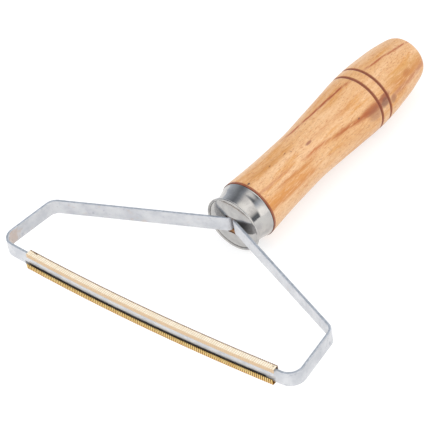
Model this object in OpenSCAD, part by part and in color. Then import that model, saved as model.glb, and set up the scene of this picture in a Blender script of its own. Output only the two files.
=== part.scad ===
// Fabric shaver: a turned wooden handle, a pressed steel ferrule and one bent steel strip that
// carries two ribbed brass blades, one over each edge of its front bar. Nothing moves.
// X runs along the blades, Y from the blades to the end of the handle, and Z is up. The tool lies
// on a table at Z = 0, and the origin is under the middle of its outline.

/* [Handle] */
// Length of wood behind the ferrule
handle_len = 105.3; // [95:0.1:125]
// Radius of the wood just behind the ferrule
neck_r = 12.6; // [12.4:0.05:13]
// Radius at the waist of the grip
waist_r = 11.2; // [10.5:0.1:12]
// Radius at the belly, beside the grooves
belly_r = 13.4; // [12.8:0.1:14.2]
// Radius of the small flat that the lathe leaves on the end
end_flat_r = 4; // [3:0.5:5]
// Depth of the two turned grooves
groove_depth = 0.6; // [0.3:0.05:0.8]
// Width of the two turned grooves
groove_w = 1.2; // [0.8:0.1:1.6]
// Distance between the two grooves
groove_gap = 5.6; // [4:0.1:7]

/* [Ferrule] */
// Length of the ferrule behind its front face
ferrule_len = 10.2; // [9.8:0.1:12]
// Radius of the rolled bead round the front face
bead_out_r = 12.3; // [12.2:0.1:13]
// Radius of the bead's own roundness
bead_r = 0.5; // [0.4:0.1:0.6]
// Distance from the front face back to the middle of the bead
bead_back = 0.75; // [0.4:0.05:0.9]
// Radius of the lip beside the wood
lip_r = 12.35; // [12.2:0.05:12.4]
// Radius of the narrow middle
ferrule_waist_r = 11.3; // [11.1:0.1:11.6]
// Thickness of the sheet
ferrule_t = 0.6; // [0.5:0.1:0.8]
// Width of the slot for the strip
slot_w = 5.2; // [4.3:0.1:5.6]
// Height of the slot for the strip
slot_h = 8.5; // [7.6:0.1:8.6]
// How far the slot's middle lies below the strip's
slot_drop = 0.25; // [0:0.05:0.4]

/* [Strip] */
// Height of the strip
strip_h = 6.6; // [5.5:0.1:7]
// Thickness of the strip
strip_t = 1.2; // [0.8:0.1:1.3]
// How far the middle of the strip lies above the handle's axis
strip_lift = 0.2; // [0:0.1:0.4]
// Distance between the middles of the two legs
leg_gap = 2.4; // [2.2:0.1:2.8]
// Length of each leg inside the handle
leg_len = 35; // [25:1:45]
// Half of the frame's width at its rear corners
rear_half_w = 68.2; // [60:0.1:71]
// Distance from the ferrule's face to the rear corners
rear_y = 27; // [20:0.5:32]
// Half of the frame's width at its front corners
front_half_w = 71.5; // [71:0.5:78]
// Distance from the ferrule's face to the front corners
front_y = 53.6; // [50:0.1:60]
// How far the front bar bows outward at its middle
bow = 2.4; // [1:0.1:4]
// Radius of the bends beside the ferrule
apex_bend = 1.6; // [1:0.1:2.5]
// Radius of the rear bends
rear_bend = 4.5; // [3:0.5:9]
// Radius of the front bends
front_bend = 5.5; // [3:0.5:6]

/* [Blades] */
// Length of each blade along the bar
blade_len = 119.5; // [105:0.5:122]
// How far the upper blade lies to the right of the bar's middle
upper_shift = 3.4; // [0:0.1:4]
// How far the lower blade lies to the right of the bar's middle
lower_shift = 2.3; // [0:0.1:4]
// Thickness of the blade sheet with its ribs
blade_t = 0.5; // [0.4:0.05:0.6]
// Height of the ribs above the sheet between them
rib_h = 0.2; // [0.1:0.02:0.24]
// Distance from rib to rib
rib_pitch = 0.9; // [0.6:0.01:1.2]
// Distance from the bar's middle to the outside of the short lip
short_lip_out = 1.5; // [1.4:0.05:1.8]
// Distance from the bar's middle to the outside of the tall lip
tall_lip_out = 1.6; // [1.6:0.05:2.4]
// Height of the short lip, outside
short_lip_h = 1.8; // [1.5:0.05:2.4]
// Height of the tall lip, outside
tall_lip_h = 2.6; // [2.3:0.1:3.6]
// How far the upper blade stands above the strip's edge
upper_stand = 0.8; // [0.7:0.05:0.9]
// How far the lower blade stands below the strip's edge
lower_stand = 1.1; // [0.9:0.05:1.2]
// Length of the crimps that hold a blade on the strip
crimp_len = 2.4; // [1.5:0.1:4]
// Distance from a blade's end to its crimp
crimp_inset = 3; // [2:0.5:6]

/* [Hidden] */

eps = 0.01;
bend_step = 6;      // degrees of bend between two points of an outline
round_fn = 96;      // segments of the turned pieces where they are drawn as a mesh

// ---- the strip's middle line -------------------------------------------------------------------
// The front bar is an arc through the front corners and the middle of the bow.
bow_r = (pow(front_half_w, 2) + pow(bow, 2)) / (2 * bow);
bow_cy = -front_y - bow + bow_r;
bar_tilt = asin(front_half_w / bow_r);

// One half is a run of straight stretches between bends. Headings are degrees from +X.
arm_run = [rear_half_w - leg_gap / 2, -rear_y];
side_run = [front_half_w - rear_half_w, rear_y - front_y];
arm_head = atan2(arm_run.y, arm_run.x);
side_head = atan2(side_run.y, side_run.x);
apex_turn = 90 + arm_head;
rear_turn = arm_head - side_head;
front_turn = side_head + 180 - bar_tilt;

// How much of a straight stretch a bend takes up.
function trim(r, turn) = r * tan(turn / 2);
arm_len = norm(arm_run) - trim(apex_bend, apex_turn) - trim(rear_bend, rear_turn);
side_len = norm(side_run) - trim(rear_bend, rear_turn) - trim(front_bend, front_turn);
bar_end_angle = asin((front_half_w - trim(front_bend, front_turn) * cos(bar_tilt)) / bow_r);

// A pose is [x, y, heading]. A bend is the poses after one, round a centre on the named side.
function bend(p, r, turn, side) = let (n = ceil(turn / bend_step))
    [for (i = [1:n]) let (h = p.z + side * turn * i / n)
        [p.x + side * r * (sin(h) - sin(p.z)), p.y - side * r * (cos(h) - cos(p.z)), h]];
function ahead(p, d) = [p.x + d * cos(p.z), p.y + d * sin(p.z), p.z];
function last(list) = list[len(list) - 1];

leg_start = [leg_gap / 2, leg_len, -90];
leg_end = [leg_gap / 2, trim(apex_bend, apex_turn), -90];
apex = bend(leg_end, apex_bend, apex_turn, 1);
arm_end = ahead(last(apex), arm_len);
rear = bend(arm_end, rear_bend, rear_turn, -1);
side_end = ahead(last(rear), side_len);
front = bend(side_end, front_bend, front_turn, -1);
bar_n = 24;
bar = [for (i = [1:bar_n]) let (a = bar_end_angle * (1 - i / bar_n))
    [bow_r * sin(a), bow_cy - bow_r * cos(a), a - 180]];
half = concat([leg_start, leg_end], apex, [arm_end], rear, [side_end], front, bar);

// The half's edge at a distance to the left of its poses, and the same edge on the other half.
function edge(d) = [for (p = half) [p.x - d * sin(p.z), p.y + d * cos(p.z)]];
function reverse(list) = [for (i = [len(list) - 1:-1:0]) list[i]];
function flip(list) = [for (p = reverse(list)) [-p.x, p.y]];
function whole(d) = concat(edge(d), [for (p = flip(edge(d))) if (p.x < -eps) p]);

// ---- the blades --------------------------------------------------------------------------------
blade_half = asin(blade_len / 2 / bow_r);
rib_n = floor(blade_len / rib_pitch);
crimp_half = asin(crimp_len / 2 / bow_r);
crimp_at = blade_half - asin(crimp_inset / bow_r) - crimp_half;

// A point on an arc beside the bar: out is measured from the bar's middle, away from the handle.
function beside(a, out) = [(bow_r + out) * sin(a), bow_cy - (bow_r + out) * cos(a)];
// The angle of a rib's crest where i is odd, and of the valley beside it where i is even.
function rib_angle(mid, i) = mid + blade_half * (i / rib_n - 1);
function ribbed(mid, out) = [for (i = [0:2 * rib_n])
    beside(rib_angle(mid, i), out - sign(out) * rib_h * (1 - i % 2))];
function plain(out, from, to) = let (n = ceil((to - from) / 0.3))
    [for (i = [0:n]) beside(from + (to - from) * i / n, out)];

// ---- the handle --------------------------------------------------------------------------------
nose_r = ferrule_waist_r - ferrule_t - 0.05;
shoulder_r = lip_r - 0.2;
end_y = ferrule_len + handle_len;
groove_y = ferrule_len + handle_len * 0.666;

// The turned shape: [distance behind the ferrule, radius], for a handle of 106.
turned_len = 106;
turned = [[0.8, neck_r], [10.5, neck_r - 0.65], [20.5, waist_r + 0.3], [35.5, waist_r],
    [47.5, waist_r + 0.65], [58.9, belly_r - 0.8], [71, belly_r - 0.05], [80, belly_r - 0.2],
    [87.5, belly_r - 0.85], [93.5, belly_r - 1.5], [98.5, belly_r - 2.4], [102.2, belly_r - 3.2],
    [104.2, belly_r - 4.1], [105.3, belly_r - 5.4], [105.8, belly_r - 7.2], [106, end_flat_r]];

// A smooth line through points, by cubic stretches that share their slopes.
function slope(list, i) = (list[min(i + 1, len(list) - 1)] - list[max(i - 1, 0)]) / 2;
function cubic(a, b, u, v, t) =
    a * (2 * pow(t, 3) - 3 * t * t + 1) + b * (3 * t * t - 2 * pow(t, 3))
    + u * (pow(t, 3) - 2 * t * t + t) + v * (pow(t, 3) - t * t);
function smooth(list, n) = concat([for (i = [0:len(list) - 2], k = [0:n - 1])
    cubic(list[i], list[i + 1], slope(list, i), slope(list, i + 1), k / n)], [last(list)]);

// ---- the whole tool's place --------------------------------------------------------------------
front_most = -front_y - bow - tall_lip_out;
module placed() translate([0, -(front_most + end_y) / 2, belly_r]) children();
module placed_strip() placed() translate([0, 0, strip_lift]) children();

// Turns an outline of [distance along the handle, radius] round the handle's axis.
module turn_on_axis(outline)
    rotate([-90, 0, 0]) rotate_extrude($fn = round_fn) polygon([for (p = outline) [p[1], p[0]]]);

module handle() color("burlywood") placed() difference() {
    turn_on_axis(concat(
        [[ferrule_t, 0], [ferrule_t, nose_r], [ferrule_len, nose_r], [ferrule_len, shoulder_r]],
        [for (p = smooth(turned, 5)) [ferrule_len + p[0] * handle_len / turned_len, p[1]]],
        [[end_y, 0]]));
    for (y = [groove_y, groove_y + groove_gap])
        turn_on_axis([[y - groove_w / 2, belly_r + 1], [y - groove_w / 2, belly_r],
            [y, belly_r - groove_depth], [y + groove_w / 2, belly_r],
            [y + groove_w / 2, belly_r + 1]]);
    // The mortise for the two legs of the strip.
    translate([-(leg_gap + strip_t) / 2, 0, strip_lift - strip_h / 2])
        cube([leg_gap + strip_t, leg_len, strip_h]);
}

module ferrule() color("silver") placed() {
    bead_c = bead_out_r - bead_r;
    face_flat_r = bead_out_r - 3.5;
    waist_y = 3.7;
    // The outside of the wall, from the bead past the narrow middle to the lip.
    wall = smooth([[waist_y - 1.8, ferrule_waist_r + 0.2], [waist_y, ferrule_waist_r],
        [waist_y + 2.2, ferrule_waist_r + 0.25], [waist_y + 4, ferrule_waist_r + 0.6],
        [ferrule_len - 0.6, lip_r - 0.1]], 3);
    difference() {
        turn_on_axis(concat(
            [[ferrule_t, 0], [0, 0], [0, face_flat_r], [bead_back, bead_c - bead_r]],
            [for (a = [15:15:225]) [bead_back - bead_r * sin(a), bead_c - bead_r * cos(a)]],
            wall, [[ferrule_len, lip_r], [ferrule_len, lip_r - ferrule_t]],
            [for (p = reverse(wall)) if (p[0] > waist_y - eps) [p[0], p[1] - ferrule_t]],
            [[ferrule_t, ferrule_waist_r - ferrule_t]]));
        translate([-slot_w / 2, -1, strip_lift - slot_drop - slot_h / 2])
            cube([slot_w, ferrule_t + 2, slot_h]);
    }
}

module frame_strip() color("gainsboro") placed_strip()
    translate([0, 0, -strip_h / 2]) linear_extrude(strip_h)
        polygon(concat(whole(strip_t / 2), reverse(whole(-strip_t / 2))));

// A blade is a channel over an edge of the bar, ribbed outside. side is 1 for the upper edge, where
// the tall lip is behind the bar, and -1 for the lower edge, where the tall lip is in front.
module blade(side, stand, shift) {
    mid = asin(shift / bow_r);
    top = strip_h / 2 + stand;
    short_out = side * short_lip_out;
    tall_out = -side * tall_lip_out;
    short_in = short_out - side * blade_t;
    tall_in = tall_out + side * blade_t;
    from = mid - blade_half;
    to = mid + blade_half;
    module band(a, b, low, high) translate([0, 0, low])
        linear_extrude(high - low) polygon(concat(a, reverse(b)));
    mirror([0, 0, side > 0 ? 0 : 1]) {
        intersection() {
            difference() {
                band(ribbed(mid, tall_out), ribbed(mid, short_out), top - tall_lip_h, top + 1);
                band(plain(tall_in, from - 0.1, to + 0.1), plain(short_in, from - 0.1, to + 0.1),
                    top - tall_lip_h - 1, top - blade_t);
                band(plain(short_in - side * eps, from - 0.1, to + 0.1),
                    plain(short_out + side, from - 0.1, to + 0.1),
                    top - tall_lip_h - 1, top - short_lip_h);
            }
            // The ribs across the top.
            translate([0, -front_y + 10, 0]) rotate([90, 0, 0]) linear_extrude(30)
                polygon(concat([[-blade_len, top - tall_lip_h - 1]],
                    [for (i = [0:2 * rib_n])
                        [bow_r * sin(rib_angle(mid, i)), top - rib_h * (1 - i % 2)]],
                    [[blade_len, top - tall_lip_h - 1]]));
        }
        // A crimp near each end grips the strip's edge and both of its faces.
        for (a = [mid - crimp_at, mid + crimp_at]) difference() {
            band(plain(tall_in - side * blade_t / 2, a - crimp_half, a + crimp_half),
                plain(short_in + side * blade_t / 2, a - crimp_half, a + crimp_half),
                top - short_lip_h + blade_t / 2, top - blade_t / 2);
            band(plain(-strip_t / 2, a - 1, a + 1), plain(strip_t / 2, a - 1, a + 1),
                0, strip_h / 2);
        }
    }
}
module upper_blade() color("khaki") placed_strip() blade(1, upper_stand, upper_shift);
module lower_blade() color("goldenrod") placed_strip() blade(-1, lower_stand, lower_shift);

// Glue fills the mortise between the legs, a little behind the ferrule's face.
module tang_glue() color("peru") placed_strip() {
    glue_w = leg_gap - strip_t;
    glue_y = ferrule_t + 2;
    translate([-glue_w / 2, glue_y, -strip_h / 2]) cube([glue_w, leg_len - glue_y, strip_h]);
}

handle();
ferrule();
frame_strip();
upper_blade();
lower_blade();
tang_glue();
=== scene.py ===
# %% [markdown]
# # A hand fabric shaver, piece by piece
# The tool scrapes lint and pills off cloth. It has a turned wooden handle, a pressed steel ferrule,
# one steel strip that is bent into a loop, and two ribbed brass blades that are pressed over the
# edges of the loop's front bar.
#
# The design model is loaded first and never changed. It gives the size and place of every piece.
# The visible pieces are then made again with rounder edges and finer ribs, and stand in for it.

# %% Load the design and set the units
from math import asin, atan2, ceil, cos, exp, pi, radians, sin, tan

import bpy
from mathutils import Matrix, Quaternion, Vector


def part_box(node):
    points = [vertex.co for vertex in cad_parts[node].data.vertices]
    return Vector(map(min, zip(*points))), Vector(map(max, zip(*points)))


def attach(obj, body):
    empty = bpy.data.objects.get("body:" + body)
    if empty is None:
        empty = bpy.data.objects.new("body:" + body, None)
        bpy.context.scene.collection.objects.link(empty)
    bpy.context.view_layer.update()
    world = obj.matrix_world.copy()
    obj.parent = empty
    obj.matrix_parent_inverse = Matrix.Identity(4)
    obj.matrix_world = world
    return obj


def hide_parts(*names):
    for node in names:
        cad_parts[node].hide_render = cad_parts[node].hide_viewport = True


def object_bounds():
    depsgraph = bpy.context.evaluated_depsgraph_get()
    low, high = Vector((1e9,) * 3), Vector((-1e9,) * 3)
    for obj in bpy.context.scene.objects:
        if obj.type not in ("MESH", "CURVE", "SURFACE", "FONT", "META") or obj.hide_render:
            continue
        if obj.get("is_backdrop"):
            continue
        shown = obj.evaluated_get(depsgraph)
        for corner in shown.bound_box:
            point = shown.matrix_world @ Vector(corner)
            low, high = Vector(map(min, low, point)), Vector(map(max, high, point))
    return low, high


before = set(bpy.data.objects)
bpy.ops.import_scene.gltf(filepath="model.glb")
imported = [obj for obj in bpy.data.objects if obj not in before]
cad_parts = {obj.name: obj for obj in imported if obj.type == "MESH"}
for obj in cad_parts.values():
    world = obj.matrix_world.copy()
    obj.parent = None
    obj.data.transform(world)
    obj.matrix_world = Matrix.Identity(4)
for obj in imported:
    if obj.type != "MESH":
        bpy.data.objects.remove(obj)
cad_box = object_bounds()
MM = 0.001
X, Y, Z = Vector((1, 0, 0)), Vector((0, 1, 0)), Vector((0, 0, 1))

ferrule_lo, ferrule_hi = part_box("ferrule")
handle_lo, handle_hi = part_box("handle")
strip_lo, strip_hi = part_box("frame_strip")
face_y = ferrule_lo.y
lip_y = ferrule_hi.y
end_y = handle_hi.y
axis_z = (handle_lo.z + handle_hi.z) / 2
strip_z = (strip_lo.z + strip_hi.z) / 2
print("handle axis at", round(axis_z / MM, 2), "mm, ferrule face at", round(face_y / MM, 2), "mm")

# %% [markdown]
# ## The camera
# A wide lens close by would swell whatever is nearest. A long lens from about a metre away keeps the
# bar and the grip in proportion. The camera looks down on the tool from its right front, and leans
# a little.

# %% Camera
AIM = Vector((-8.56 * MM, face_y + 0.85 * MM, strip_z))
AZIMUTH = radians(45.59)
ELEVATION = radians(42.36)
LEAN = radians(10.62)
DISTANCE = 1056.9 * MM
SENSOR_MM, LENS_MM = 36, 229.5

away = Vector((sin(AZIMUTH) * cos(ELEVATION), -cos(AZIMUTH) * cos(ELEVATION), sin(ELEVATION)))
camera = bpy.data.objects.new("camera", bpy.data.cameras.new("camera"))
bpy.context.scene.collection.objects.link(camera)
camera.location = AIM + away * DISTANCE
level = (-away).to_track_quat("-Z", "Y")
camera.rotation_euler = (level @ Quaternion(Z, -LEAN)).to_euler()
camera.data.sensor_width = SENSOR_MM
camera.data.lens = LENS_MM
camera.data.clip_start = 50 * MM
bpy.context.scene.camera = camera
print("camera at", [round(v / MM, 1) for v in camera.location], "mm")

# %% [markdown]
# ## Colours and nodes
# A colour that is read off a real thing is an sRGB value, and the shader wants a linear one, so one
# function turns the hex value over. One more adds a node: it takes the node's settings by name, and
# the values or other nodes for its inputs in the order in which the node shows them. The last one
# links finished patterns to a shader's sockets.

# %% Helpers for materials
def colour(hex_value):
    """An sRGB hex value, such as D9A871, as a linear colour."""
    parts = [int(hex_value[i:i + 2], 16) / 255 for i in (0, 2, 4)]
    linear = [c / 12.92 if c <= 0.04045 else ((c + 0.055) / 1.055) ** 2.4 for c in parts]
    return (*linear, 1)


def add(tree, kind, *values, **settings):
    """Adds a node. A value for an input is a number, a colour, a node, a socket, or None."""
    made = tree.nodes.new("ShaderNode" + kind)
    for name, setting in settings.items():
        setattr(made, name, setting)
    sockets = [socket for socket in made.inputs if socket.enabled]
    for socket, value in zip(sockets, values):
        if isinstance(value, bpy.types.Node):
            value = next(output for output in value.outputs if output.enabled)
        if isinstance(value, bpy.types.NodeSocket):
            tree.links.new(value, socket)
        elif value is not None:
            socket.default_value = value
    return made


def feed(tree, shader, **patterns):
    """Links patterns to a shader's sockets, named with _ for a space."""
    for name, pattern in patterns.items():
        output = next(output for output in pattern.outputs if output.enabled)
        tree.links.new(output, shader.inputs[name.replace("_", " ")])


def new_material(name):
    """A material whose only shader is the Principled one, and its node tree."""
    made = bpy.data.materials.new(name)
    made.use_nodes = True
    return made, made.node_tree, made.node_tree.nodes["Principled BSDF"]


SMOOTH = {"interpolation_type": "SMOOTHSTEP"}
print("one function adds every node")

# %% [markdown]
# ## The floor
# The tool lies on white card. The card glows a little by itself, so that the shadow under the tool
# stays faint, as it does in a tent whose floor is lit from below.

# %% Floor
FLOOR_SIZE = 8
FLOOR_GLOW = 0.65
bpy.ops.object.select_all(action="DESELECT")
bpy.ops.mesh.primitive_plane_add(size=FLOOR_SIZE, location=(0, 0, 0))
floor = bpy.context.object
floor.name = "floor"
card, tree, shader = new_material("white_card")
shader.inputs["Base Color"].default_value = colour("A8A8A8")
shader.inputs["Roughness"].default_value = 0.9
shader.inputs["Specular IOR Level"].default_value = 0.1
shader.inputs["Emission Color"].default_value = colour("FFFFFF")
shader.inputs["Emission Strength"].default_value = FLOOR_GLOW
floor.data.materials.append(card)
floor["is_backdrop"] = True
print("floor", FLOOR_SIZE, "m wide at height 0")

# %% [markdown]
# ## The even light
# Wood and card need plenty of soft light from above and none of it has to be seen, so a very wide
# sun stands for the tent's roof, and it is left out of mirrors.

# %% Dome of even light
DOME_POWER = 1.6
DOME_WIDTH = radians(150)
DOME_TILT = (radians(25), radians(-12), 0)
dome = bpy.data.objects.new("dome", bpy.data.lights.new("dome", "SUN"))
bpy.context.scene.collection.objects.link(dome)
dome.rotation_euler = DOME_TILT
dome.data.energy = DOME_POWER
dome.data.angle = DOME_WIDTH
dome.visible_glossy = False
print("dome of", DOME_POWER, "W per square metre")

# %% [markdown]
# ## The light tent
# Polished metal shows what stands round it, and it looks like metal because some of that is dark.
# The tent is what the mirrors show: panels and the gaps between them. Its colour turns with the
# angle round the handle's axis, so its panels run along the handle as long soft boxes do, and it
# differs between the front and the back. The seam between front and back slants, so it lies further
# forward the further left it is. The tent's far end is a bright window, and its near end is plain
# grey. A ramp holds the panels of one side, and each of its stops is an angle from the right-hand
# horizon over the top, with how bright the tent is there.
#
# The fades are given as two places along the tent, where Y is -1 at its near end and 1 at its far
# end: where the fade starts and where it is complete.

# %% Light tent
TENT_LIGHT = 1.6
TENT_BACK = [(0, 0.2), (16, 0.2), (30, 1.05), (62, 1.6), (92, 1.2), (108, 0.45), (124, 0.27),
             (146, 0.5), (180, 0.9)]
TENT_FRONT = [(0, 1.6), (24, 1.6), (44, 0.8), (60, 0.22), (92, 0.42), (120, 0.3), (150, 0.65),
              (180, 1.0)]
WARM, COOL = Vector((1.0, 0.985, 0.965)), Vector((0.88, 0.95, 1.06))
SLANT = 0.6
SEAM = (0.43, 0.24)
NEAR_END = (-0.35, -0.6)
WINDOW = (0.72, 0.88)
GREY, WHITE = (0.85, 0.85, 0.85, 1), (1, 1, 1, 1)


def tent_side(tree, turn, side):
    """The tent's colours round the handle's axis, as a ramp from one horizon to the other."""
    ramp = add(tree, "ValToRGB", turn)
    stops = ramp.color_ramp.elements
    for i, (angle, light) in enumerate(side):
        stop = stops[i] if i < 2 else stops.new(angle / 180)
        stop.position = angle / 180
        tint = WARM if light > 1 else COOL
        stop.color = (*(tint * light / TENT_LIGHT), 1)
    return ramp


world = bpy.data.worlds.new("light_tent")
bpy.context.scene.world = world
world.use_nodes = True
tree = world.node_tree
tree.nodes.clear()
split = add(tree, "SeparateXYZ", add(tree, "TexCoord").outputs["Generated"])
turn = add(tree, "Math", split.outputs["Z"], split.outputs["X"], operation="ARCTAN2")
turn = add(tree, "Math", turn, pi, operation="DIVIDE")
slanted = add(tree, "Math", turn, SLANT, split.outputs["Y"], operation="MULTIPLY_ADD")
to_front = add(tree, "MapRange", slanted, *SEAM, **SMOOTH)
tent = add(tree, "Mix", to_front, tent_side(tree, turn, TENT_BACK),
           tent_side(tree, turn, TENT_FRONT), data_type="RGBA")
for fade, shade in ((NEAR_END, GREY), (WINDOW, WHITE)):
    reach = add(tree, "MapRange", split.outputs["Y"], *fade, **SMOOTH)
    tent = add(tree, "Mix", reach, tent, shade, data_type="RGBA")
add(tree, "OutputWorld", add(tree, "Background", tent, TENT_LIGHT))
bpy.context.scene.view_settings.view_transform = "Standard"
print("tent with", len(TENT_BACK), "stops behind and", len(TENT_FRONT), "in front")

# %% [markdown]
# ## Drawing and turning
# A lathe cuts the same outline all the way round. Here the outline is drawn as a chain of short
# lines, each extruded from the end of the last, and then spun round the handle's axis. The same two
# steps make the handle and the ferrule.
#
# Edge angles under 35 degrees are shaded as one smooth surface, and sharper ones stay crisp.

# %% A lathe
CRISP = radians(35)
WELD = 0.002 * MM


def start_line(name, point):
    """A new piece that is one point, open for editing."""
    bpy.ops.object.select_all(action="DESELECT")
    bpy.ops.mesh.primitive_plane_add(size=MM, location=point)
    piece = bpy.context.object
    piece.name = name
    bpy.ops.object.mode_set(mode="EDIT")
    bpy.ops.mesh.select_mode(type="VERT")
    bpy.ops.mesh.select_all(action="SELECT")
    bpy.ops.mesh.merge(type="CENTER")
    return piece


def draw(step):
    """Extrudes what is selected by a step."""
    bpy.ops.mesh.extrude_region_move(TRANSFORM_OT_translate={"value": step})


def close_up(piece):
    """Merges doubled points, turns the faces outwards, and puts the piece's place in its mesh."""
    bpy.ops.object.mode_set(mode="EDIT")
    bpy.ops.mesh.select_all(action="SELECT")
    bpy.ops.mesh.remove_doubles(threshold=WELD)
    bpy.ops.mesh.normals_make_consistent(inside=False)
    bpy.ops.object.mode_set(mode="OBJECT")
    bpy.ops.object.select_all(action="DESELECT")
    piece.select_set(True)
    bpy.context.view_layer.objects.active = piece
    bpy.ops.object.transform_apply(location=True, rotation=True, scale=True)
    bpy.ops.object.shade_smooth_by_angle(angle=CRISP)


def turn_on_lathe(name, outline, steps):
    """Spins an outline of (distance along Y, radius), which starts and ends on the axis."""
    start = outline[0]
    piece = start_line(name, (start[1], start[0], axis_z))
    for before, after in zip(outline, outline[1:]):
        draw((after[1] - before[1], after[0] - before[0], 0))
    bpy.ops.mesh.select_all(action="SELECT")
    bpy.ops.mesh.spin(steps=steps, angle=2 * pi, center=(0, 0, axis_z), axis=Y)
    close_up(piece)
    return piece


print("the lathe turns round an axis", round(axis_z / MM, 2), "mm up")

# %% [markdown]
# ## The handle
# The handle is turned from one billet of fruitwood. It narrows to a waist for the fingers and swells
# to a belly for the palm, and two lines are burnt into the belly with a wire while it spins. The
# grip is one smooth curve through a few widths, taken where a turner would check them with
# callipers.

# %% A smooth line through a few widths
def smooth_line(points, n):
    """A curve through points in a plane, with n stretches between two neighbours."""
    line = []
    for i in range(len(points) - 1):
        a, b = Vector(points[i]), Vector(points[i + 1])
        u = (b - Vector(points[max(i - 1, 0)])) / 2
        v = (Vector(points[min(i + 2, len(points) - 1)]) - a) / 2
        for k in range(n):
            t = k / n
            line.append(a * (2 * t**3 - 3 * t**2 + 1) + b * (3 * t**2 - 2 * t**3)
                        + u * (t**3 - 2 * t**2 + t) + v * (t**3 - t**2))
    line.append(Vector(points[-1]))
    return line


SHOULDER_R = 12.15 * MM
WAIST_R = 11.2 * MM
BELLY_R = (handle_hi.z - handle_lo.z) / 2
# Each width is how far it is behind the ferrule, and its radius.
GRIP = [(0, SHOULDER_R), (0.25 * MM, 12.4 * MM), (0.8 * MM, 12.6 * MM), (10.4 * MM, 11.95 * MM),
        (20.4 * MM, WAIST_R + 0.3 * MM), (35.3 * MM, WAIST_R), (47.2 * MM, WAIST_R + 0.65 * MM),
        (58.5 * MM, BELLY_R - 0.8 * MM), (70.5 * MM, BELLY_R - 0.05 * MM),
        (79.5 * MM, BELLY_R - 0.2 * MM), (86.9 * MM, BELLY_R - 0.85 * MM),
        (92.9 * MM, BELLY_R - 1.5 * MM), (97.8 * MM, BELLY_R - 2.4 * MM),
        (101.5 * MM, BELLY_R - 3.2 * MM), (103.5 * MM, BELLY_R - 4.1 * MM),
        (104.6 * MM, BELLY_R - 5.4 * MM), (105.1 * MM, BELLY_R - 7.2 * MM),
        (105.25 * MM, 3.9 * MM), (end_y - lip_y, 0)]
curve = smooth_line(GRIP, 4)
print("grip", round((end_y - lip_y) / MM, 1), "mm long, in", len(curve) - 1, "stretches")

# %% [markdown]
# ## The two grooves
# A groove is a small rounded dip that is taken off the curve. The outline gets more points near the
# two grooves, so that they come out round and the rest of the handle stays light. The nose that
# goes into the ferrule is drawn in front of the grip, and the whole outline is turned at once.

# %% Turn the handle
NOSE_R = 10.65 * MM
GROOVE_DEPTH = 0.6 * MM
GROOVE_W = 0.42 * MM
GROOVE_ZONE = 3 * MM
GROOVE_CUTS = 12
HANDLE_STEPS = 128
GROOVES = [face_y + 80.35 * MM, face_y + 85.95 * MM]


def groove_dip(y):
    """How deep the two grooves cut the grip at a place along it."""
    return GROOVE_DEPTH * max(exp(-((y - g) / GROOVE_W) ** 2) for g in GROOVES)


fine = [curve[0]]
for a, b in zip(curve, curve[1:]):
    near = min(abs((a.x + b.x) / 2 + lip_y - g) for g in GROOVES) < GROOVE_ZONE
    parts = GROOVE_CUTS if near else 1
    fine += [a.lerp(b, (k + 1) / parts) for k in range(parts)]
grip = [(lip_y + p.x, max(p.y - groove_dip(lip_y + p.x), 0)) for p in fine]
nose = [(handle_lo.y, 0), (handle_lo.y, NOSE_R), (lip_y, NOSE_R)]
handle = turn_on_lathe("turned_handle", nose + grip, HANDLE_STEPS)
print("handle turned from", len(nose + grip), "points in", HANDLE_STEPS, "steps")

# %% [markdown]
# ## The mortise
# The strip's two legs go deep into the end of the handle. A long thin box is taken out of the wood
# for them with a Boolean modifier, which is what a mortising chisel does in a few strokes. The
# modifier is applied at once, and the box is thrown away.

# %% Chisel the mortise
def apply_all(piece):
    """Applies every modifier of a piece."""
    bpy.ops.object.select_all(action="DESELECT")
    piece.select_set(True)
    bpy.context.view_layer.objects.active = piece
    for modifier in list(piece.modifiers):
        bpy.ops.object.modifier_apply(modifier=modifier.name)


def cut_with(piece, cutter):
    """Takes a cutter's shape out of a piece, and throws the cutter away."""
    cut = piece.modifiers.new("cut", "BOOLEAN")
    cut.operation = "DIFFERENCE"
    cut.solver = "EXACT"
    cut.object = cutter
    apply_all(piece)
    bpy.data.objects.remove(cutter)


def box_cutter(low, high):
    """A box to cut with, as a chisel or a punch is."""
    bpy.ops.object.select_all(action="DESELECT")
    bpy.ops.mesh.primitive_cube_add(size=1, location=(low + high) / 2, scale=high - low)
    return bpy.context.object


LEG_GAP = 2.4 * MM
STRIP_T = 1.2 * MM
LEG_LEN = 35 * MM
mortise_w = LEG_GAP + STRIP_T
cut_with(handle, box_cutter(Vector((-mortise_w / 2, handle_lo.y - MM, strip_lo.z)),
                            Vector((mortise_w / 2, face_y + LEG_LEN, strip_hi.z))))
print("mortise", round(mortise_w / MM, 2), "mm wide and", round(LEG_LEN / MM, 1), "mm deep")

# %% [markdown]
# ## Lacquered fruitwood
# The wood is cherry or a cousin of it, under clear lacquer. The grain runs along the handle: pale
# honey, with golden bands, fine reddish flecks and small pores. A noise that is stretched along the
# handle gives the bands and the flecks, because growth rings run on for a long way but change
# quickly across. Pores are really about 0.1 mm wide, and are drawn at 0.3 mm so that they show.

# %% Wood: bands, flecks and pores
NOISE_ROUGHNESS = 0.55


def place_in_mm(tree):
    """Object coordinates in millimetres from the middle of the ferrule's face."""
    where = add(tree, "TexCoord").outputs["Object"]
    shifted = add(tree, "VectorMath", where, (0, face_y, axis_z), operation="SUBTRACT")
    return add(tree, "VectorMath", shifted, 1 / MM, operation="SCALE")


def grain(tree, place, across, along, detail=3.0, seed=0.0):
    """Noise in patches so many mm wide and so many mm long, from a part of it that a seed picks."""
    squeezed = add(tree, "Mapping", place, (seed, seed, seed), None,
                   (1 / across, 1 / along, 1 / across))
    return add(tree, "TexNoise", squeezed, 1.0, detail, NOISE_ROUGHNESS)


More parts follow.
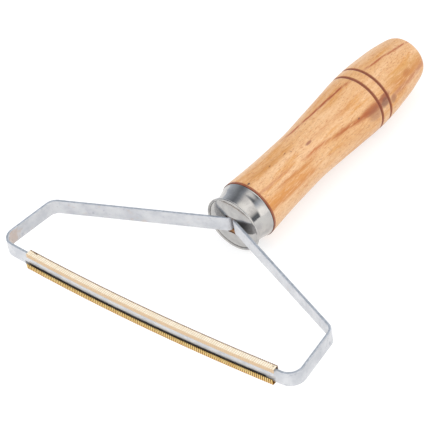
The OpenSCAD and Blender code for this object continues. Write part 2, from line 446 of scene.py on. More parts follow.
def paint(tree, base, pattern, low, high, strength, hex_value):
    """Lays a colour over a base where a pattern goes from low to high, up to a strength."""
    share = add(tree, "MapRange", pattern, low, high, 0.0, strength, **SMOOTH)
    return add(tree, "Mix", share, base, colour(hex_value), data_type="RGBA")


wood, tree, shader = new_material("lacquered_fruitwood")
place = place_in_mm(tree)
split = add(tree, "SeparateXYZ", place)
along = split.outputs["Y"]
angle = add(tree, "Math", split.outputs["Z"], split.outputs["X"], operation="ARCTAN2")
angle = add(tree, "Math", angle, 180 / pi, operation="MULTIPLY")

bands = grain(tree, place, 6, 60, 2.0, 3.1)
gold = grain(tree, place, 3.2, 34, 3.0, 11.7)
flecks = grain(tree, place, 0.42, 2.2, 4.0, 5.3)
mottle = grain(tree, place, 0.45, 0.6, 2.0, 17.9)
pores = grain(tree, place, 0.3, 1.4, 2.0, 23.9)

base = paint(tree, colour("DAB083"), bands, 0.36, 0.62, 1.0, "CF9D67")
base = paint(tree, base, gold, 0.5, 0.68, 0.8, "C88A3C")
base = paint(tree, base, flecks, 0.5, 0.72, 0.6, "B4682E")
base = paint(tree, base, flecks, 0.46, 0.28, 0.35, "E6C49C")
base = paint(tree, base, mottle, 0.5, 0.72, 0.25, "AE7440")
base = paint(tree, base, mottle, 0.4, 0.25, 0.2, "E6C7A2")
base = paint(tree, base, pores, 0.58, 0.72, 0.5, "84502E")
print("wood pattern with", len(tree.nodes), "nodes so far")

# %% [markdown]
# ## Streaks in the wood
# A few long streaks of gum give this billet its face, and noise would never put them in the right
# place. Each is listed as a line from one place to another. A place is so many millimetres
# along the handle and so many degrees round it, from the right side over the top. A wobble bends
# the lines a little and a frayed noise breaks them up.

# %% Wood: streaks
# Start, end, half width in mm, colour and strength.
STREAKS = [((38, 119), (82, 89), 1.05, "A24A14", 1.0), ((46, 113), (80, 90), 0.5, "8A380C", 0.65),
           ((84, 88), (118, 72), 0.75, "A24E1C", 0.95),
           ((34, 50), (56, 36), 1.1, "B0602A", 0.8), ((50, 38), (84, 20), 1.4, "A4541F", 0.9),
           ((16, 44), (46, 34), 1.0, "B26A26", 0.75), ((-4, 28), (44, 14), 2.0, "BC7322", 0.8),
           ((4, 36), (42, 26), 2.4, "C47E2C", 0.75), ((8, 92), (40, 82), 2.0, "B57A3C", 0.55),
           ((-6, 61), (34, 53), 0.8, "AF6A40", 0.55), ((40, 66), (74, 58), 1.3, "B8793F", 0.45),
           ((56, 92), (76, 82), 2.2, "C0843C", 0.5), ((86, 30), (120, 16), 4.0, "B87428", 0.8),
           ((84, 17), (120, 8), 1.6, "A8643A", 0.7), ((86, 44), (118, 34), 2.4, "C08A40", 0.55),
           ((10, 170), (70, 155), 1.2, "A65A28", 0.7), ((50, 200), (110, 215), 1.6, "B06A30", 0.7),
           ((0, 235), (60, 250), 1.0, "A65A28", 0.7), ((30, 290), (100, 300), 1.4, "AC622E", 0.7),
           ((60, 330), (112, 322), 0.9, "A65A28", 0.7), ((5, 320), (50, 310), 1.6, "BD7C34", 0.7)]
# A degree round the handle is this many mm on its surface, at a mean radius of 12.3 mm.
ROUND_MM = radians(12.3)
TIP_MM = 8
wobble = add(tree, "MapRange", grain(tree, place, 9, 14, 2.0, 41), 0.0, 1.0, -4.5, 4.5)
turned = add(tree, "Math", angle, wobble, operation="ADD")
frayed = add(tree, "MapRange", grain(tree, place, 0.6, 6, 3.0, 17), 0.25, 0.55, **SMOOTH)


def from_line(tree, start, end):
    """How many mm a place lies from the line between two places, measured round the handle."""
    slope = (end[1] - start[1]) / (end[0] - start[0])
    line = add(tree, "Math", along, slope, start[1] - slope * start[0], operation="MULTIPLY_ADD")
    off = add(tree, "Math", turned, line, operation="SUBTRACT")
    off = add(tree, "Math", off, 180.0, -180.0, operation="WRAP")
    off = add(tree, "Math", off, operation="ABSOLUTE")
    return add(tree, "Math", off, ROUND_MM, operation="MULTIPLY")


for start, end, width, shade, strength in STREAKS:
    share = add(tree, "MapRange", from_line(tree, start, end), 1.2 * width, 0.1 * width,
                0.0, strength, **SMOOTH)
    for edge, inside in ((start[0], start[0] + TIP_MM), (end[0], end[0] - TIP_MM)):
        tip = add(tree, "MapRange", along, edge, inside, **SMOOTH)
        share = add(tree, "Math", share, tip, operation="MULTIPLY")
    share = add(tree, "Math", share, frayed, operation="MULTIPLY")
    base = add(tree, "Mix", share, base, colour(shade), data_type="RGBA")
print(len(STREAKS), "streaks")

# %% [markdown]
# ## The knot and the spots
# A knot darkens the wood between the two burnt lines, and there are a few small dark spots. They are
# ellipses with an edge that the fleck noise roughens, because a real knot has no clean outline.

# %% Wood: knot and spots
# Place, half length and half width in mm, colour and strength.
SPOTS = [((44.2, 63.5), 1.9, 0.75, "8A4A34", 0.8), ((11.9, 86), 0.8, 0.5, "4A3038", 0.9),
         ((68.6, 30.5), 0.7, 0.4, "6A3A2C", 0.8), ((76, 27.5), 7.0, 2.0, "9C4E1E", 0.85),
         ((84, 28), 4.0, 1.6, "8A3E1A", 0.85), ((83.5, 19), 3.4, 1.9, "6F3F30", 0.8),
         ((77, 17), 4.6, 3.2, "8C5233", 0.6), ((88.5, 11), 2.0, 2.0, "8E5636", 0.65),
         ((101, 29), 2.8, 1.6, "A9642A", 0.6), ((24.5, 84), 0.8, 0.3, "7A4A26", 0.8),
         ((33.5, 80), 0.8, 0.3, "7A4A26", 0.8), ((36, 75), 0.4, 0.3, "7A5236", 0.8)]
rough_edge = add(tree, "MapRange", flecks, 0.0, 1.0, -0.8, 0.8)
for (spot_y, spot_turn), half_long, half_wide, shade, strength in SPOTS:
    dy = add(tree, "Math", along, spot_y, operation="SUBTRACT")
    dy = add(tree, "Math", dy, half_long, operation="DIVIDE")
    off = add(tree, "Math", turned, spot_turn, operation="SUBTRACT")
    off = add(tree, "Math", off, 180.0, -180.0, operation="WRAP")
    da = add(tree, "Math", off, ROUND_MM / half_wide, operation="MULTIPLY")
    across = add(tree, "Math", da, 2.0, operation="POWER")
    far = add(tree, "Math", dy, dy, across, operation="MULTIPLY_ADD")
    far = add(tree, "Math", far, rough_edge, operation="ADD")
    base = paint(tree, base, far, 1.3, 0.1, strength, shade)
print(len(SPOTS), "spots")

# %% [markdown]
# ## Burnt lines
# The two grooves are dark because a taut wire was pressed into them until the wood smoked, and the
# shoulder against the ferrule was burnt the same way. The front of the nose, deep inside the
# ferrule, is painted darker brown as painted shade inside the cap.

# %% Wood: burnt lines
LINE_EDGE = (1.05, 0.35)
shoulder = (lip_y - face_y) / MM
burnt = add(tree, "MapRange", along, shoulder + 1.3, shoulder + 0.3, **SMOOTH)
nose_end = add(tree, "MapRange", along, shoulder - 5, shoulder - 1, **SMOOTH)
burnt = add(tree, "Math", burnt, nose_end, operation="MULTIPLY")
for g in GROOVES:
    off = add(tree, "Math", along, (g - face_y) / MM, operation="SUBTRACT")
    off = add(tree, "Math", off, operation="ABSOLUTE")
    line = add(tree, "MapRange", off, *LINE_EDGE, **SMOOTH)
    burnt = add(tree, "Math", burnt, line, operation="MAXIMUM")
base = paint(tree, base, burnt, 0.0, 1.0, 0.92, "7E340E")
# Painted shade: the front of the nose inside the ferrule is darkened.
base = paint(tree, base, along, shoulder - 4, shoulder - 8, 0.7, "7A4A2A")
print("burnt lines", [round((g - face_y) / MM, 1) for g in GROOVES], "mm behind the ferrule's face")

# %% [markdown]
# ## Lacquer, and putting the handle in its place
# The lacquer is thin satin, so it has a weak coat, and the flecks and pores still show in its
# roughness and bump. The finished piece then stands in for its design node.

# %% Wood: lacquer
def stand_in(piece, node, slot_name, *materials):
    """Shows the piece in place of its design node, with its own materials."""
    piece.data.materials.clear()
    for material in materials:
        piece.data.materials.append(material)
    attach(piece, "root")
    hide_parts(node)
    size = [round(v / MM, 1) for v in piece.dimensions]
    print(piece.name, "is", size, "mm, in", len(piece.data.polygons), "faces")


rough = add(tree, "MapRange", flecks, 0.0, 1.0, 0.42, 0.6)
height = add(tree, "Math", pores, -0.6, flecks, operation="MULTIPLY_ADD")
bump = add(tree, "Bump", 0.4, 0.05 * MM, None, height)
feed(tree, shader, Base_Color=base, Roughness=rough, Normal=bump)
shader.inputs["IOR"].default_value = 1.5
shader.inputs["Coat Weight"].default_value = 0.25
shader.inputs["Coat Roughness"].default_value = 0.25
stand_in(handle, "handle", "wood", wood)

# %% [markdown]
# ## The ferrule
# The ferrule is a cap that is pressed from thin steel sheet and plated. Its front face is almost
# flat, its rim is rolled into a small bead, its wall narrows behind the bead and flares again to a
# lip against the wood. It is turned like the handle, with an inside as well as an outside, and the
# slot for the strip is then punched through its face.

# %% Press the ferrule
SHEET = 0.6 * MM
RIM_R = 12.3 * MM
BEAD_R = 0.5 * MM
BEAD_BACK = 0.75 * MM
BEAD_TURN = range(12, 253, 12)
WAIST_AT, FERRULE_WAIST_R = 3.7 * MM, 11.3 * MM
LIP_R = 12.35 * MM
FERRULE_STEPS = 160
bead_c = RIM_R - BEAD_R
# How far behind the face, and how much narrower than the rim or the lip, or wider than the waist.
DISHING = [(0.02 * MM, 4.5 * MM), (0.1 * MM, 3 * MM), (0.35 * MM, 1.9 * MM), (0.62 * MM, 1.25 * MM)]
FLARE = [(1.35 * MM, 0.25 * MM), (1.55 * MM, 0.06 * MM), (2.0 * MM, 0.01 * MM), (WAIST_AT, 0),
         (5.3 * MM, 0.04 * MM), (6.6 * MM, 0.24 * MM), (7.7 * MM, 0.54 * MM)]
LIP = [(9.0 * MM, 0.2 * MM), (9.75 * MM, 0.01 * MM), (10.05 * MM, 0.02 * MM),
       (lip_y - face_y, 0.16 * MM)]


def ferrule_outline():
    """The cap's section: along the face, round the bead, along the wall, and back inside."""
    face = [(0, 0)] + [(back, RIM_R - less) for back, less in DISHING]
    face.append((BEAD_BACK, bead_c - BEAD_R))
    bead = [(BEAD_BACK - BEAD_R * sin(radians(a)), bead_c - BEAD_R * cos(radians(a)))
            for a in BEAD_TURN]
    flare = [(back, FERRULE_WAIST_R + more) for back, more in FLARE]
    lip = [(back, LIP_R - less) for back, less in LIP]
    wall = smooth_line([bead[-1]] + flare + lip, 5)
    inside = [(p.x, p.y - SHEET) for p in reversed(wall) if p.x > WAIST_AT]
    rear = [(SHEET, FERRULE_WAIST_R - SHEET), (SHEET, 0)]
    return [(face_y + p[0], p[1]) for p in face + bead + wall[1:] + inside + rear]


ferrule = turn_on_lathe("pressed_ferrule", ferrule_outline(), FERRULE_STEPS)
print("ferrule", round((lip_y - face_y) / MM, 2), "mm long, waist", FERRULE_WAIST_R / MM, "mm")

# %% [markdown]
# ## The slot
# The slot is punched through the face before the cap goes on the wood. It is a little larger than
# the strip's two legs, so some wood shows in its lower corner.

# %% Punch the slot
SLOT_W = 5.2 * MM
SLOT_H = 8.5 * MM
slot_z = strip_z - 0.25 * MM
cut_with(ferrule, box_cutter(Vector((-SLOT_W / 2, face_y - MM, slot_z - SLOT_H / 2)),
                             Vector((SLOT_W / 2, face_y + 2 * MM, slot_z + SLOT_H / 2))))
print("slot", round(SLOT_W / MM, 1), "by", round(SLOT_H / MM, 1), "mm")

# %% [markdown]
# ## Bright plated steel
# Nickel plating over pressed steel is a mirror that is never quite clean. Its colour is a warm
# grey, and its roughness is low, with faint rubbed patches and drawing lines that run round the
# cap. The rest of its look is the light tent, bent by its shape.

# %% Ferrule material
plated, tree, shader = new_material("nickel_plated_steel")
place = place_in_mm(tree)
shader.inputs["Metallic"].default_value = 1.0
smudge = grain(tree, place, 4, 4, 3.0, 2.0)
tone = paint(tree, colour("BCBAB7"), smudge, 0.35, 0.7, 1.0, "ACAAA9")
rough = add(tree, "MapRange", smudge, 0.3, 0.7, 0.09, 0.17)
rings = grain(tree, place, 12, 0.25, 2.0, 9.0)
ripple = grain(tree, place, 2.2, 2.2, 1.0, 4.0)
height = add(tree, "Math", rings, 0.12, ripple, operation="MULTIPLY_ADD")
bump = add(tree, "Bump", 0.2, 0.05 * MM, None, height)
feed(tree, shader, Base_Color=tone, Roughness=rough, Normal=bump)
stand_in(ferrule, "ferrule", "ferrule_steel", plated)

# %% [markdown]
# ## The strip
# The frame is one length of flat steel, bent on edge. It starts inside the handle, comes out of the
# slot, turns out along an arm, round a rear corner and a front corner, and crosses the front as a
# slightly bowed bar. Then it goes back the same way. A face is extruded along each straight
# stretch, and spun round a bend's centre for each bend, which is what a bending tool does.

# %% Work out the bends
REAR = Vector((68.2, 27)) * MM
FRONT = Vector((71.5, 53.6)) * MM
BOW = 2.4 * MM
APEX_BEND, REAR_BEND, FRONT_BEND = 1.6 * MM, 4.5 * MM, 5.5 * MM

bow_r = (FRONT.x**2 + BOW**2) / (2 * BOW)
bow_y = face_y - FRONT.y - BOW + bow_r
bar_tilt = asin(FRONT.x / bow_r)
arm = Vector((REAR.x - LEG_GAP / 2, -REAR.y))
side = Vector((FRONT.x - REAR.x, REAR.y - FRONT.y))
arm_head = atan2(arm.y, arm.x)
side_head = atan2(side.y, side.x)
apex_turn = pi / 2 + arm_head
rear_turn = arm_head - side_head


def used_by(radius, turn):
    """How much of a straight stretch a bend takes up."""
    return radius * tan(turn / 2)


bar_half = asin((FRONT.x - used_by(FRONT_BEND, side_head + pi - bar_tilt)) / bow_r)
front_turn = side_head + pi - bar_half
leg_run = LEG_LEN - used_by(APEX_BEND, apex_turn)
arm_run = arm.length - used_by(APEX_BEND, apex_turn) - used_by(REAR_BEND, rear_turn)
side_run = side.length - used_by(REAR_BEND, rear_turn) - used_by(FRONT_BEND, front_turn)
# A move is (length) or (radius, turn): turns to the left are positive, as seen from above.
half_way = [(leg_run,), (APEX_BEND, apex_turn), (arm_run,), (REAR_BEND, -rear_turn),
            (side_run,), (FRONT_BEND, -front_turn)]
route = half_way + [(bow_r, -2 * bar_half)] + half_way[::-1]
print("strip:", round((2 * (leg_run + arm_run + side_run)) / MM, 1), "mm of straight stretches")

# %% [markdown]
# ## Bending the strip
# The face at the end of the strip is what moves. Extrude takes it along a straight stretch and Spin
# takes it round a bend, and each leaves a wall behind it. Spin turns the other way from the rule
# of the right hand here, so its angle has its sign turned.

# %% Bend the strip
STRIP_H = strip_hi.z - strip_lo.z
BEND_STEP = radians(5)
BAR_STEPS = 32

bpy.ops.object.select_all(action="DESELECT")
bpy.ops.mesh.primitive_plane_add(size=1, location=(LEG_GAP / 2, face_y + LEG_LEN, strip_z),
                                 rotation=(pi / 2, 0, 0))
strip = bpy.context.object
strip.name = "bent_strip"
strip.scale = (STRIP_T, STRIP_H, 1)
bpy.ops.object.transform_apply(location=True, rotation=True, scale=True)
bpy.ops.object.mode_set(mode="EDIT")
bpy.ops.mesh.select_mode(type="FACE")
bpy.ops.mesh.select_all(action="SELECT")
spot = Vector((LEG_GAP / 2, face_y + LEG_LEN, strip_z))
heading = -pi / 2
for move in route:
    if len(move) == 1:
        step = Vector((cos(heading), sin(heading), 0)) * move[0]
        draw(step)
        spot += step
    else:
        radius, turn = move
        left = 1 if turn > 0 else -1
        centre = spot + Vector((-sin(heading), cos(heading), 0)) * radius * left
        steps = BAR_STEPS if radius == bow_r else ceil(abs(turn) / BEND_STEP)
        bpy.ops.mesh.spin(steps=steps, angle=-turn, center=centre, axis=Z)
        heading += turn
        spot = centre + Vector((sin(heading), -cos(heading), 0)) * radius * left
print("the strip ends", round((spot.x + LEG_GAP / 2) / MM, 3), "mm from its mirror place")

# %% [markdown]
# ## The strip's edges
# Strip that is slit from wide sheet has edges that are rolled round afterwards, or the frame would
# cut the hand. The Bevel modifier rounds the four long edges, and it is applied at once.

# %% Round the strip's edges
close_up(strip)
EDGE_R = 0.42 * MM
edges = strip.modifiers.new("edges", "BEVEL")
edges.width = EDGE_R
edges.segments = 4
edges.limit_method = "ANGLE"
edges.angle_limit = radians(60)
apply_all(strip)
bpy.ops.object.shade_smooth_by_angle(angle=CRISP)
print("strip edges rounded by", round(EDGE_R / MM, 2), "mm, in", len(strip.data.polygons), "faces")

# %% [markdown]
# ## Zinc-plated faces
# The strip is slit from wide sheet that is already plated. Its two faces are satin zinc, with grey
# clouds, rubbed marks and a brown stain in its left front corner. Zinc grows a thin matt skin, so
# the faces are only partly metallic.

# %% Zinc faces
def nearness(tree, place, point, radius):
    """1 at a point and 0 at a radius from it, in mm, with a soft rough edge."""
    far = add(tree, "VectorMath", place, point, operation="DISTANCE")
    frayed = grain(tree, place, 1.8, 1.8, 3.0, 7.0)
    rough_far = add(tree, "Math", frayed, radius, far.outputs["Value"], operation="MULTIPLY_ADD")
    return add(tree, "MapRange", rough_far, 1.4 * radius, 0.7 * radius, **SMOOTH)


satin, tree, shader = new_material("satin_zinc")
place = place_in_mm(tree)
shader.inputs["Metallic"].default_value = 0.35
cloud = grain(tree, place, 6, 6, 3.0, 6.0)
fine_marks = grain(tree, place, 0.6, 0.6, 3.0, 8.0)
rubbed = grain(tree, place, 2.2, 2.2, 3.0, 26.0)
tone = paint(tree, colour("C6C7CA"), cloud, 0.35, 0.7, 1.0, "B4B6BB")
tone = paint(tree, tone, rubbed, 0.58, 0.72, 0.55, "9A9CA4")
tone = paint(tree, tone, fine_marks, 0.55, 0.75, 0.35, "A2A4AB")
tone = paint(tree, tone, grain(tree, place, 4, 4, 2.0, 31.0), 0.64, 0.76, 0.3, "B59C84")
stain = (-FRONT.x / MM + 1.2, -FRONT.y / MM + 4.6, 0.4)
tone = paint(tree, tone, nearness(tree, place, stain, 6.5), 0.0, 1.0, 0.5, "B8967A")
print("zinc with a stain at", [round(v, 1) for v in stain], "mm from the ferrule's face")

# %% [markdown]
# ## Painted shade in the crease
# The crease above the lower blade, on the outer face only, is painted near black as painted shade
# where the blade's lip shades the strip. The share of painted shade is a product of three fades:
# outwards from the bar's middle line, down to the blade, and away from the blade's ends. The middle
# line is a circle, so the first fade is a distance from its centre.

# %% Painted shade in the crease, and the zinc's roughness
CREASE_SHADE_FRONT = 0.4
CREASE_SHADE_DOWN = (-1.05, -1.25)
CREASE_SHADE_ENDS = (59.5, 58.0)
from_bow = add(tree, "VectorMath", place, (0, (bow_y - face_y) / MM, 0), operation="SUBTRACT")
from_bow = add(tree, "VectorMath", from_bow, (1, 1, 0), operation="MULTIPLY")
ring = add(tree, "VectorMath", from_bow, operation="LENGTH").outputs["Value"]
split = add(tree, "SeparateXYZ", place)
sideways = add(tree, "Math", split.outputs["X"], operation="ABSOLUTE")
crease_shade = add(tree, "MapRange", ring, bow_r / MM, bow_r / MM + CREASE_SHADE_FRONT, **SMOOTH)
for reach, fade in ((split.outputs["Z"], CREASE_SHADE_DOWN), (sideways, CREASE_SHADE_ENDS)):
    part = add(tree, "MapRange", reach, *fade, **SMOOTH)
    crease_shade = add(tree, "Math", crease_shade, part, operation="MULTIPLY")
# Painted shade: the crease above the lower blade is darkened near black.
tone = paint(tree, tone, crease_shade, 0.0, 1.0, 0.85, "33291F")
rough = add(tree, "MapRange", fine_marks, 0.0, 1.0, 0.16, 0.28)
height = add(tree, "Math", fine_marks, cloud, operation="ADD")
bump = add(tree, "Bump", 0.12, 0.03 * MM, None, height)
feed(tree, shader, Base_Color=tone, Roughness=rough, Normal=bump)
print("zinc finish in", len(tree.nodes), "nodes")

# %% [markdown]
# ## Slit edges
# The edges are where the slitter tore through the sheet, so they are bluer, darker and rougher than
# the plated faces. The two finishes are two materials on one piece, and each face of the mesh takes
# the edge's material when it looks mostly up or down.

# %% Edge steel
EDGE_FACING = 0.7
slit, tree, shader = new_material("slit_steel_edge")
place = place_in_mm(tree)
shader.inputs["Metallic"].default_value = 0.5
marks = grain(tree, place, 1.4, 1.4, 3.0, 12.0)
tone = paint(tree, colour("B9BEC6"), marks, 0.3, 0.7, 1.0, "9DA4AD")
rough = add(tree, "MapRange", marks, 0.0, 1.0, 0.3, 0.5)
bump = add(tree, "Bump", 0.4, 0.04 * MM, None, marks)
feed(tree, shader, Base_Color=tone, Roughness=rough, Normal=bump)

stand_in(strip, "frame_strip", "strip_steel", satin, slit)
for face in strip.data.polygons:
    face.material_index = 1 if abs(face.normal.z) > EDGE_FACING else 0

# %% [markdown]
# ## The ribbed blades
# Each blade is thin brass sheet, pressed with fine cross ribs and folded into a channel that is
# crimped over an edge of the bar. The ribs are what catches the lint. The channel's section is drawn
# first, as a line from its front lip over its roof to its back lip, with a spin for each fold. The
# blade that sits on top has its tall lip behind, and the one below has it in front.

# %% Draw a blade's section
RIB_H = 0.2 * MM
CORNER_R = 0.25 * MM
SHORT_H, SHORT_OUT = 1.8 * MM, 1.5 * MM
TALL_OUT = 1.6 * MM
FOLD_STEPS = 4


def draw_section(name, low, high, up):
    """A channel's section as a line, where up is 1 on the bar's upper edge and -1 on its lower."""
    height = high.z - low.z
    front_h, front_out = (SHORT_H, SHORT_OUT) if up > 0 else (height, TALL_OUT)
    back_h, back_out = (height, TALL_OUT) if up > 0 else (SHORT_H, SHORT_OUT)
    top = high.z if up > 0 else low.z
    roof = top - up * RIB_H
    front = bow_y - bow_r - front_out + RIB_H
    back = bow_y - bow_r + back_out - RIB_H
    across = (0, (back - front - 2 * CORNER_R) / 3, 0)
    piece = start_line(name, (0, front, top - up * front_h))
    for _ in range(3):
        draw((0, 0, up * (front_h - RIB_H - CORNER_R) / 3))
    for corner_y, steps, step in ((front + CORNER_R, 3, across),
                                  (back - CORNER_R, 4,
                                   (0, 0, -up * (back_h - RIB_H - CORNER_R) / 4))):
        corner = Vector((0, corner_y, roof - up * CORNER_R))
        bpy.ops.mesh.spin(steps=FOLD_STEPS, angle=up * pi / 2, center=corner, axis=X)
        for _ in range(steps):
            draw(step)
    return piece


print("the roof is ribbed", RIB_H / MM, "mm high, and its folds have a radius of", CORNER_R / MM, "mm")

# %% [markdown]
# ## One rib
# Only one rib is modelled. The section is swept over one rib's width in four steps, round the bow's
# centre, and its middle rows are pushed out along the faces' normals, so the rib runs over the roof
# and down both lips. A row is found by its angle round the bow's centre.

# %% Press one rib
BLADE_LEN = 119.5 * MM
RIB_PITCH = 0.905 * MM
RIB_PUSH = ((1, 0.6), (2, 1.0), (3, 0.6))
RIB_ROWS = 4
ROOF_FACE = 8
bow_centre = Vector((0, bow_y, strip_z))
rib_n = round(BLADE_LEN / RIB_PITCH)
rib_turn = 2 * asin(BLADE_LEN / 2 / bow_r) / rib_n


def select_points(piece, test):
    """Opens a piece for editing, with only the points selected whose place passes a test."""
    bpy.ops.object.select_all(action="DESELECT")
    piece.select_set(True)
    bpy.context.view_layer.objects.active = piece
    bpy.ops.object.mode_set(mode="EDIT")
    bpy.ops.mesh.select_mode(type="VERT")
    bpy.ops.mesh.select_all(action="DESELECT")
    bpy.ops.object.mode_set(mode="OBJECT")
    for point in piece.data.vertices:
        point.select = test(point.co)
    bpy.ops.object.mode_set(mode="EDIT")


def row_of(co):
    """Which quarter of a rib's width a place lies on, counted round the bow's centre."""
    return round(atan2(co.x, bow_y - co.y) / (rib_turn / RIB_ROWS))


def press_rib(piece, up):
    """Sweeps a section over one rib's width, and pushes its middle rows out."""
    bpy.ops.mesh.select_all(action="SELECT")
    bpy.ops.mesh.spin(steps=RIB_ROWS, angle=-rib_turn, center=bow_centre, axis=Z)
    bpy.ops.mesh.select_all(action="SELECT")
    bpy.ops.mesh.normals_make_consistent(inside=False)
    bpy.ops.object.mode_set(mode="OBJECT")
    bpy.ops.object.transform_apply(location=True, rotation=True, scale=True)
    if piece.data.polygons[ROOF_FACE].normal.z * up < 0:
        piece.data.flip_normals()
    for row, push in RIB_PUSH:
        select_points(piece, lambda co: row_of(co) == row)
        bpy.ops.transform.shrink_fatten(value=push * RIB_H)
        bpy.ops.object.mode_set(mode="OBJECT")


print(rib_n, "ribs, one every", round(RIB_PITCH / MM, 3), "mm")

# %% [markdown]
# ## The whole row
# The first rib is turned to the blade's left end. Spin in its copying mode then lays the others
# along the bow, their doubled points are merged, and the Solidify modifier gives the sheet its
# thickness, inwards from the outer faces.

# %% Lay the row of ribs
BLADE_SHEET = 0.5 * MM
RIB_CRISP = radians(50)


def lay_ribs(name, node, up):
    """A ribbed channel over the bar's upper edge, where up is 1, or its lower edge, at -1."""
    low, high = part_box(node)
    middle = asin((low.x + high.x) / 2 / bow_r)
    piece = draw_section(name, low, high, up)
    press_rib(piece, up)
    select_points(piece, lambda co: True)
    bpy.ops.transform.rotate(value=rib_n / 2 * rib_turn - middle, orient_axis="Z",
                             center_override=bow_centre)
    bpy.ops.mesh.spin(steps=rib_n - 1, angle=-(rib_n - 1) * rib_turn, dupli=True,
                      center=bow_centre, axis=Z)
    bpy.ops.mesh.select_all(action="SELECT")
    bpy.ops.mesh.remove_doubles(threshold=0.01 * MM)
    bpy.ops.object.mode_set(mode="OBJECT")
    sheet = piece.modifiers.new("sheet", "SOLIDIFY")
    sheet.thickness = BLADE_SHEET - RIB_H
    sheet.offset = -1
    apply_all(piece)
    bpy.ops.object.shade_smooth_by_angle(angle=RIB_CRISP)
    return piece


upper = lay_ribs("upper_ribbed_blade", "upper_blade", 1)
lower = lay_ribs("lower_ribbed_blade", "lower_blade", -1)
print("blades in", len(upper.data.polygons), "and", len(lower.data.polygons), "faces")

# %% [markdown]
# ## The tab
# Near its left end the upper blade has a small lanced tab, which is a ramp that the press pushed
# down into the sheet. The ramp is cut with a box whose lower left edge is raised to its top, which
# makes it a wedge.

# %% Lance the tab
TAB_LEN, TAB_W, TAB_DEEP = 2.7 * MM, 1.0 * MM, 0.75 * MM
TAB_IN, TAB_BACK = 1.7 * MM, 0.75 * MM
PUNCH_PROUD = 0.4 * MM
blade_lo, blade_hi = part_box("upper_blade")


def bar_y(x):
    """Where the bar's middle line is, at a distance along the bar."""
    return bow_y - (bow_r**2 - x**2) ** 0.5


tab_x = blade_lo.x + TAB_IN
tab_y = bar_y(tab_x) + TAB_BACK
tab_top = blade_hi.z - 0.1 * MM
punch = box_cutter(Vector((tab_x, tab_y - TAB_W / 2, tab_top - TAB_DEEP)),
                   Vector((tab_x + TAB_LEN, tab_y + TAB_W / 2, tab_top + PUNCH_PROUD)))
select_points(punch, lambda co: co.x < 0 and co.z < 0)
bpy.ops.transform.translate(value=(0, 0, TAB_DEEP))
bpy.ops.object.mode_set(mode="OBJECT")
cut_with(upper, punch)
print("tab at x", round(tab_x / MM, 1), "mm,", TAB_LEN / MM, "mm long")

# %% [markdown]
# ## The dimple
# Near its right end the upper blade has a dimple from a centre punch, which is cut with a small
# ball whose middle is a little above the roof.

# %% Punch the dimple
DIMPLE_R = 0.65 * MM
BALL_UP = 0.25 * MM
dimple = Vector((blade_hi.x - 1.5 * MM, bar_y(blade_hi.x) + 0.4 * MM, blade_hi.z))
bpy.ops.object.select_all(action="DESELECT")
bpy.ops.mesh.primitive_uv_sphere_add(segments=20, ring_count=12, radius=DIMPLE_R,
                                     location=dimple + BALL_UP * Z)
cut_with(upper, bpy.context.object)
print("dimple at x", round(dimple.x / MM, 1), "mm")

# %% [markdown]
# ## Ribbed brass
# Brass sheet is pale where it is freshly rolled and goes gold with handling. The ribs scatter the
# light of the tent, so even a bright metal looks soft. The valleys are painted darker, partly for
# dust and polish that stay in them and partly as painted shade between the ribs, so one part of
# the colour follows the ribs, counted round the bow's centre. The helper also gives how far in
# front of the bar's middle line a place is, for painted shade on the folds.

# %% Brass with dirt and painted shade between its ribs
def ribbed_brass(name, node, metallic, crest, valley, dirt_and_shade, roughness):
    """Brass with darker valleys between its ribs, and how many mm a place is in front of the bar."""
    low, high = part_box(node)
    middle = asin((low.x + high.x) / 2 / bow_r)
    made, tree, shader = new_material(name)
    shader.inputs["Metallic"].default_value = metallic
    where = add(tree, "TexCoord").outputs["Object"]
    from_centre = add(tree, "VectorMath", where, (0, bow_y, 0), operation="SUBTRACT")
    flat = add(tree, "VectorMath", from_centre, (1, -1, 0), operation="MULTIPLY")
    split = add(tree, "SeparateXYZ", flat)
    around = add(tree, "Math", split.outputs["X"], split.outputs["Y"], operation="ARCTAN2")
    around = add(tree, "Math", around, middle, operation="SUBTRACT")
    wave = add(tree, "Math", around, 2 * pi / rib_turn, operation="MULTIPLY")
    wave = add(tree, "Math", wave, operation="COSINE")
    ring = add(tree, "VectorMath", flat, operation="LENGTH").outputs["Value"]
    out = add(tree, "Math", ring, bow_r, operation="SUBTRACT")
    out = add(tree, "Math", out, 1 / MM, operation="MULTIPLY")
    place = place_in_mm(tree)
    cloud = grain(tree, place, 2.5, 2.5, 3.0, 14.0)
    marks = grain(tree, place, 0.4, 0.4, 2.0, 3.0)
    tone = paint(tree, colour(crest[0]), cloud, 0.3, 0.7, 1.0, crest[1])
    tone = paint(tree, tone, marks, 0.55, 0.75, 0.3, valley)
    # Valleys between the ribs darkened: partly dust and polish, partly painted shade.
    tone = paint(tree, tone, wave, -0.3, 0.9, dirt_and_shade, valley)
    rough = add(tree, "MapRange", marks, 0.0, 1.0, roughness - 0.06, roughness + 0.08)
    bump = add(tree, "Bump", 0.25, 0.03 * MM, None, marks)
    feed(tree, shader, Roughness=rough, Normal=bump)
    return made, tree, shader, tone, place, out


print("dirt every", round(rib_turn * bow_r / MM, 3), "mm")

# %% [markdown]
# ## Pale brass above
# The upper blade is freshly rolled, so it is pale and dull. Its back fold is painted dark brown
# and its front lip tan, as painted shade where the sheet turns away from the light; the tab's
# hole is painted dark brown as painted shade, and there is dirt in the dimple.

# %% Upper blade's brass
def on_face(point):
    """A place in the part's frame, in mm from the middle of the ferrule's face."""
    return (Vector(point) - Vector((0, face_y, axis_z))) / MM


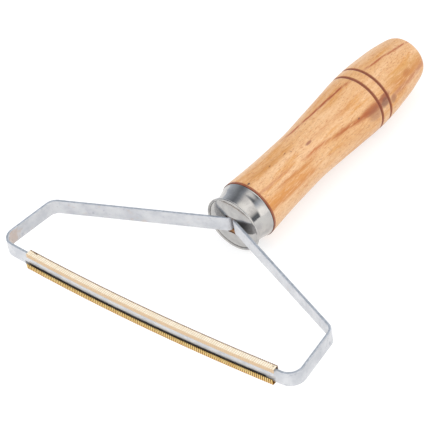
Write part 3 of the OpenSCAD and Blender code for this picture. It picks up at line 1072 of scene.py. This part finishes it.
pale_brass, tree, shader, tone, place, out = ribbed_brass(
    "pale_rolled_brass", "upper_blade", 0.35, ("F8F0DF", "F0E5CE"), "C8AC84", 0.6, 0.4)
# Painted shade: the back fold is darkened to dark brown.
tone = paint(tree, tone, out, -0.85, -1.05, 1.0, "7C552E")
# Painted shade: the front lip is painted tan, darker than the roof.
tone = paint(tree, tone, out, 1.05, 1.35, 0.85, "C2A480")
hole = on_face((tab_x + 0.8 * TAB_LEN, tab_y, blade_hi.z))
# Painted shade: the tab's hole is darkened to dark brown.
tone = paint(tree, tone, nearness(tree, place, hole, 0.8), 0.0, 1.0, 0.8, "7A5226")
tone = paint(tree, tone, nearness(tree, place, on_face(dimple), 0.6), 0.0, 1.0, 0.7, "B06A4C")
feed(tree, shader, Base_Color=tone)
stand_in(upper, "upper_blade", "upper_brass", pale_brass)

# %% [markdown]
# ## Golden brass below
# The lower blade is rubbed over cloth, so it is smoother, more metallic and golden. It is painted
# browner towards its lower fold, as painted shade.

# %% Lower blade's brass
gold_brass, tree, shader, tone, place, _ = ribbed_brass(
    "gold_brass", "lower_blade", 0.85, ("FDDF96", "F1C87A"), "4A280A", 1.0, 0.26)
height = add(tree, "SeparateXYZ", place).outputs["Z"]
# Painted shade: darker brown towards the lower fold.
tone = paint(tree, tone, height, -2.7, -4.1, 0.75, "B67C34")
feed(tree, shader, Base_Color=tone)
stand_in(lower, "lower_blade", "lower_brass", gold_brass)

# %% [markdown]
# ## Glue
# The legs are bedded in resin glue, out of sight in the mortise. The design's own piece has the
# right shape, so it only gets a finish.

# %% Glue
resin, tree, shader = new_material("cured_resin_glue")
drips = grain(tree, place_in_mm(tree), 1.5, 1.5, 2.0)
tone = paint(tree, colour("A8763E"), drips, 0.0, 1.0, 1.0, "8A5C2E")
rough = add(tree, "MapRange", drips, 0.0, 1.0, 0.3, 0.42)
bump = add(tree, "Bump", 0.3, 0.05 * MM, None, drips)
feed(tree, shader, Base_Color=tone, Roughness=rough, Normal=bump)
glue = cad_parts["tang_glue"]
glue.data.materials.clear()
glue.data.materials.append(resin)
print("glue", [round(v / MM, 1) for v in glue.dimensions], "mm")

# %% [markdown]
# ## The two boxes
# The box of the design and the box of what is shown are printed side by side. The visible
# pieces must not grow past the design.

# %% Measure and finish
shown_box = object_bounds()
for name, (low, high) in (("design", cad_box), ("shown", shown_box)):
    print(name, [round(v / MM, 2) for v in low], [round(v / MM, 2) for v in high])
